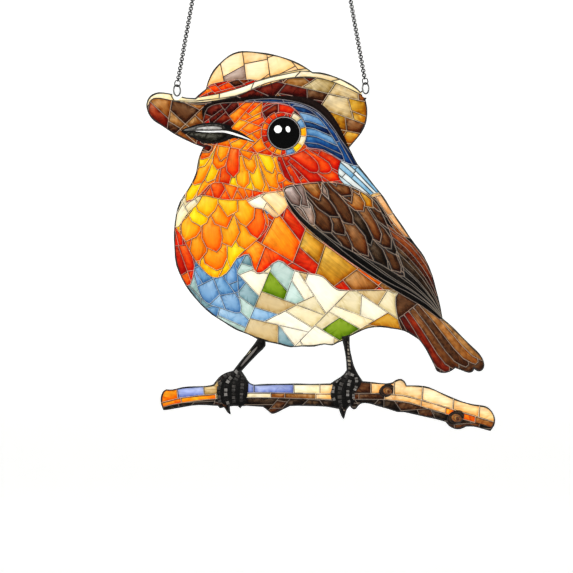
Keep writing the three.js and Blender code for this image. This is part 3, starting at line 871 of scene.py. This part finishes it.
ringMaterial = wire("ringSteel", "7a7a78", 0.2, 0.4)
chainMaterial = wire("chainSteel", "0e0e0e", 0.32, 0.5)
clearAcrylic = material("clearAcrylic", "f7fafa", 0.03, **{"Transmission Weight": 1.0, "IOR": 1.49})[0]

# The printed film
filmBack = panelFront - printLook["gap"]
filmFront = filmBack - printLook["film"]


def colourMesh(piece, colours):
    # colours is one list of corner colours for each face
    layer = piece.data.color_attributes.new("tileColour", "FLOAT_COLOR", "CORNER")
    for polygon, corners in zip(piece.data.polygons, colours):
        for loopIndex, colour in zip(polygon.loop_indices, corners):
            layer.data[loopIndex].color = (*colour, 1)


def filmPiece():
    kept = [(list(face), owner) for face, owner in zip(flatFaces, owners) if owner is not None]
    index = {}
    for face, _ in kept:
        for i in face:
            index.setdefault(i, len(index))
    verts = [inMetres(flatPoints[i].x, -flatPoints[i].y, filmFront) for i in index]
    verts += [inMetres(flatPoints[i].x, -flatPoints[i].y, filmBack) for i in index]
    count = len(index)
    polys, sources = [], []
    for face, owner in kept:
        polys.append([index[i] for i in face])
        sources.append((owner, face))
    for face, owner in kept:
        polys.append([index[i] + count for i in reversed(face)])
        sources.append((owner, face[::-1]))
    for (a, b), owner in openEdges(kept).items():
        polys.append([index[b], index[a], index[a] + count, index[b] + count])
        sources.append((owner, [b, a, a, b]))
    film = meshPiece("printed_picture", verts, polys, filmMaterial)
    film.data.uv_layers.new(name="grain")
    film.data.attributes.new("grainStrength", "FLOAT", "CORNER")
    colourMesh(film, [[shadedColour(owner, i) for i in face] for owner, face in sources])
    grainLayer = film.data.uv_layers["grain"]
    strength = film.data.attributes["grainStrength"]
    for polygon, (owner, face) in zip(film.data.polygons, sources):
        _, _, _, du, dv, turn, _ = lookOf(owner)
        c, s = math.cos(turn), math.sin(turn)
        for loopIndex, i in zip(polygon.loop_indices, face):
            x, y = flatPoints[i].x, flatPoints[i].y
            grainLayer.data[loopIndex].uv = (x * c - y * s + du, x * s + y * c + dv)
            strength.data[loopIndex].value = patches[owner[0]]["grain"] * filmLook["streaks"]
    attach(film, "root")
    print("film: %d faces" % len(polys))


filmPiece()


# Lines between tiles
def chains(segments):
    # edges joined into runs that stop where three or more meet
    touching = {}
    for a, b in segments:
        touching.setdefault(a, []).append(b)
        touching.setdefault(b, []).append(a)
    used = set()
    runs = []
    starts = [v for v, others in touching.items() if len(others) != 2] + list(touching)
    for start in starts:
        for first in touching[start]:
            if (start, first) in used:
                continue
            run, previous, spot = [start], start, first
            used.add((start, first))
            used.add((first, start))
            while True:
                run.append(spot)
                others = touching[spot]
                if len(others) != 2 or spot == start:
                    break
                following = others[0] if others[1] == previous else others[1]
                if (spot, following) in used:
                    break
                used.add((spot, following))
                used.add((following, spot))
                previous, spot = spot, following
            runs.append(run)
    return runs


def lineColour(a, b, kind, light):
    # a line takes a dark tone of the tiles beside it, and its core a pale metallic tone
    kept = sidesOf[(a, b)]
    colours = [lookOf(owner)[0] for owner in kept]
    mean = [sum(channels) / len(colours) for channels in zip(*colours)]
    if light:
        return [tone + printLook["coreTint"] * channel + printLook["coreGain"] * max(mean)
                for tone, channel in zip(printLook["coreTone"], mean)]
    share = printLook["lines"][kind][2]
    return [printLook["darkTone"] + share * min(colour) ** printLook["darkPower"] for colour in zip(*colours)]


def ribbons(name, kinds, column, depths, materialUsed, seed):
    rng = random.Random(seed)
    verts, polys, colours = [], [], []
    level = 0
    shift = Vector(printLook["coreShift"] if column == 1 else (0, 0))

    def stamp(centre, radius, depth, colour):
        start = len(verts)
        for k in range(8):
            angle = math.pi * k / 4
            verts.append(inMetres(centre.x + shift.x + radius * math.cos(angle),
                                  -(centre.y + shift.y + radius * math.sin(angle)), depth))
        polys.append(list(range(start, start + 8))[::-1])
        colours.append([colour] * 8)

    for kind in kinds:
        width = printLook["lines"][kind][column]
        if not width:
            continue
        for run in chains([(a, b) for a, b, k in borders if k == kind]):
            spots = [flatPoints[i] for i in run]
            closed = run[0] == run[-1]
            phase = rng.uniform(0, 6)
            edgeColours = [lineColour(a, b, kind, column == 1) for a, b in zip(run, run[1:])]
            level = (level + 1) % printLook["levels"]
            for depth in [d + level * printLook["levelStep"] * (1 if d > filmBack else -1) for d in depths]:
                start = len(verts)
                travelled = 0.0
                for i, p in enumerate(spots):
                    before = spots[i - 1] if i else (spots[-2] if closed else p)
                    after = spots[i + 1] if i + 1 < len(spots) else (spots[1] if closed else p)
                    travelled += (p - before).length if i else 0
                    d0, d1 = (p - before), (after - p)
                    d0 = d0.normalized() if d0.length > 1e-7 else d1.normalized()
                    d1 = d1.normalized() if d1.length > 1e-7 else d0
                    normal = Vector((-(d0.y + d1.y), d0.x + d1.x))
                    if normal.length > 1e-6:
                        normal = normal / max(0.7, normal.length_squared / 2)
                    else:
                        normal = Vector((-d0.y, d0.x))
                    wander = math.sin(travelled * printLook["swellRate"] + phase)
                    half = width / 2 * (1 + printLook["swell"] * wander)
                    for side in (half, -half):
                        q = p + normal * side + shift
                        verts.append(inMetres(q.x, -q.y, depth))
                for i in range(len(spots) - 1):
                    a = start + 2 * i
                    polys.append([a, a + 1, a + 3, a + 2])
                    colours.append([edgeColours[i]] * 4)
                if not closed:
                    lift = depth + printLook["levelStep"] / 2
                    stamp(spots[0], width / 2, lift, edgeColours[0])
                    stamp(spots[-1], width / 2, lift, edgeColours[-1])
    piece = meshPiece(name, verts, polys, materialUsed)
    colourMesh(piece, colours)
    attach(piece, "root")
    print("%s: %d faces" % (name, len(polys)))


lineKinds = [kind for kind in printLook["lines"] if kind != "none"]
ribbons("dark_lines", lineKinds, 0, (filmFront - printLook["darkLift"], filmBack + printLook["backLift"]),
    lineMaterial, 2)
ribbons("light_lines", lineKinds, 1, (filmFront - printLook["coreLift"],), coreMaterial, 3)

# The sheet itself
panelNode.data.materials.clear()
panelNode.data.materials.append(clearAcrylic)

# Rings and chain
metalLook = {
    "ringWire": 0.0008, "ringSides": 48, "ringWireSides": 14, "ringSlit": 0.00012,
    "wire": 0.00057, "linkSize": 0.0023, "linkSides": 16, "wireSides": 7, "overlap": 0.00001,
    "endLength": 0.0026, "endWidth": 0.0021, "hook": 0.006, "gap": 0.00005,
}


def tube(path, radius, sides, closed, verts, polys, up):
    # a round wire along a path; up is a direction that never lies along it
    start = len(verts)
    count = len(path)
    for i, p in enumerate(path):
        before = path[i - 1] if i or closed else p
        after = path[(i + 1) % count] if i + 1 < count or closed else p
        heading = (after - before).normalized()
        side = heading.cross(up).normalized()
        over = side.cross(heading)
        for k in range(sides):
            angle = 2 * math.pi * k / sides
            verts.append(p + (side * math.cos(angle) + over * math.sin(angle)) * radius)
    for i in range(count if closed else count - 1):
        a, b = start + i * sides, start + ((i + 1) % count) * sides
        for k in range(sides):
            n = (k + 1) % sides
            polys.append([a + k, a + n, b + n, b + k])
    if not closed:
        polys.append(list(range(start, start + sides)))
        polys.append(list(range(start + (count - 1) * sides, start + count * sides))[::-1])


def ringPiece(node):
    low, high = (Vector(v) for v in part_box(node))
    centre = (low + high) / 2
    radius = (high.z - low.z - metalLook["ringWire"]) / 2
    turn = math.atan2(high.y - low.y - metalLook["ringWire"], high.x - low.x - metalLook["ringWire"])
    across = Vector((math.cos(turn), math.sin(turn), 0))
    verts, polys = [], []
    slit = metalLook["ringSlit"] / radius
    path = []
    for i in range(metalLook["ringSides"] + 1):
        angle = math.radians(30) + slit / 2 + (2 * math.pi - slit) * i / metalLook["ringSides"]
        path.append(centre + (across * math.cos(angle) + Vector((0, 0, 1)) * math.sin(angle)) * radius)
    tube(path, metalLook["ringWire"] / 2, metalLook["ringWireSides"], False, verts, polys,
         across.cross(Vector((0, 0, 1))))
    piece = meshPiece(node + "_wire", verts, polys, ringMaterial, True)
    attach(piece, "root")
    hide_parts(node)
    return centre + Vector((0, 0, radius - metalLook["ringWire"] / 2))


ringTops = [ringPiece("left_ring"), ringPiece("right_ring")]
linkInner = metalLook["linkSize"] / 2 - metalLook["wire"]
bendRadius = (metalLook["hook"] + metalLook["linkSize"]) / 2
hookCentre = Vector((0, 0, -metalLook["hook"] / 2))


def chainLine(side, end):
    toEnd = end - hookCentre
    wrap = math.atan2(side * toEnd.x, toEnd.z) - math.acos(bendRadius / toEnd.length)
    leave = hookCentre + Vector((side * math.sin(wrap), 0, math.cos(wrap))) * bendRadius
    down = (end - leave).normalized()
    arc = wrap * bendRadius

    def at(s):
        if s > arc:
            return leave + down * (s - arc), down
        angle = s / bendRadius
        return (hookCentre + Vector((side * math.sin(angle), 0, math.cos(angle))) * bendRadius,
                Vector((side * math.cos(angle), 0, -math.sin(angle))))
    return at, arc + (end - leave).length


def linkInto(verts, polys, centre, heading, faceOn, innerWidth, innerLength):
    width, length = innerWidth / 2 + metalLook["wire"] / 2, (innerLength - innerWidth) / 2
    cross = heading.cross(Vector((0, 1, 0))).normalized() if faceOn else Vector((0, 1, 0))
    path = []
    for k in range(metalLook["linkSides"]):
        angle = 2 * math.pi * (k + 0.5) / metalLook["linkSides"]
        lengthwise = math.sin(angle) * width + math.copysign(length, math.sin(angle))
        path.append(centre + cross * (math.cos(angle) * width) + heading * lengthwise)
    tube(path, metalLook["wire"] / 2, metalLook["wireSides"], True, verts, polys, cross.cross(heading))


chainVerts, chainPolys = [], []
linkCount = 1
middlePoint, middleHeading = chainLine(1, ringTops[1])[0](0)
linkInto(chainVerts, chainPolys, middlePoint, middleHeading, True, 2 * linkInner, 2 * linkInner)
for side, top in zip((-1, 1), ringTops):
    at, length = chainLine(side, top - Vector((0, 0, metalLook["gap"])))
    last = length - metalLook["endLength"] - linkInner
    count = 2 * round((last / (2 * linkInner) - 1) / 2) + 1
    for k in range(1, count + 1):
        point, heading = at(last * k / count)
        linkInto(chainVerts, chainPolys, point, heading, k % 2 == 0, 2 * linkInner, 2 * linkInner)
    point, heading = at(length - metalLook["endLength"] / 2)
    linkInto(chainVerts, chainPolys, point, heading, True, metalLook["endWidth"], metalLook["endLength"])
    linkCount += count + 1
chain = meshPiece("hanging_chain", chainVerts, chainPolys, chainMaterial, True)
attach(chain, "root")
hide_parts("left_chain_run", "right_chain_run", "chain_top")
print("chain: %d links, %d faces" % (linkCount, len(chainPolys)))

# Stage, light and camera
stageLook = {"floor": "f1f1ef", "glow": 0.5, "back": 3.8, "below": 0.30, "front": -3.8, "side": 4.0, "height": 4.5,
             "bend": 0.35, "key": 25, "fill": 12, "lightSize": 0.9, "aim": (0.01, 0, -0.33), "world": 0.25}


partFoot = -0.414  # the branch's lowest point


def stage():
    floorZ = partFoot - stageLook["below"]
    made, _, shader = material("paleStudio", stageLook["floor"], 0.9)
    shader.inputs["Emission Color"].default_value = (1, 1, 1, 1)
    shader.inputs["Emission Strength"].default_value = stageLook["glow"]
    profile = [(stageLook["front"], floorZ)]
    bend = stageLook["bend"]
    for k in range(13):
        angle = math.pi / 2 * k / 12
        profile.append((stageLook["back"] - bend + bend * math.sin(angle), floorZ + bend - bend * math.cos(angle)))
    profile.append((stageLook["back"], floorZ + stageLook["height"]))
    verts = [(x, y, z) for y, z in profile for x in (-stageLook["side"], stageLook["side"])]
    polys = [[2 * k, 2 * k + 1, 2 * k + 3, 2 * k + 2] for k in range(len(profile) - 1)]
    meshPiece("studio_sweep", verts, polys, made, True)


stage()


def softLight(name, place, power):
    lamp = bpy.data.lights.new(name, "AREA")
    lamp.shape = "SQUARE"
    lamp.size = stageLook["lightSize"]
    lamp.energy = power
    holder = bpy.data.objects.new(name, lamp)
    holder.location = place
    holder.rotation_euler = (Vector(stageLook["aim"]) - Vector(place)).to_track_quat("-Z", "Y").to_euler()
    bpy.context.collection.objects.link(holder)


softLight("keyLight", (-0.9, -1.2, 0.5), stageLook["key"])
softLight("fillLight", (1.1, -1.1, -0.1), stageLook["fill"])
world = bpy.data.worlds.new("studio")
world.use_nodes = True
fill(world.node_tree, world.node_tree.nodes["Background"], {"Color": (1, 1, 1, 1), "Strength": stageLook["world"]})
bpy.context.scene.world = world
bpy.context.scene.view_settings.view_transform = "Standard"

cameraLook = {"frame": 573, "distance": 1.6, "sensor": 36.0}
view = bpy.data.cameras.new("photoView")
view.sensor_width = cameraLook["sensor"]
view.lens = cameraLook["sensor"] * cameraLook["distance"] / (cameraLook["frame"] * unit)
view.clip_start = 0.05
cameraHolder = bpy.data.objects.new("photoView", view)
cameraHolder.location = inMetres(286, 286, -cameraLook["distance"])
cameraHolder.rotation_euler = (math.pi / 2, 0, 0)
bpy.context.collection.objects.link(cameraHolder)
bpy.context.scene.camera = cameraHolder
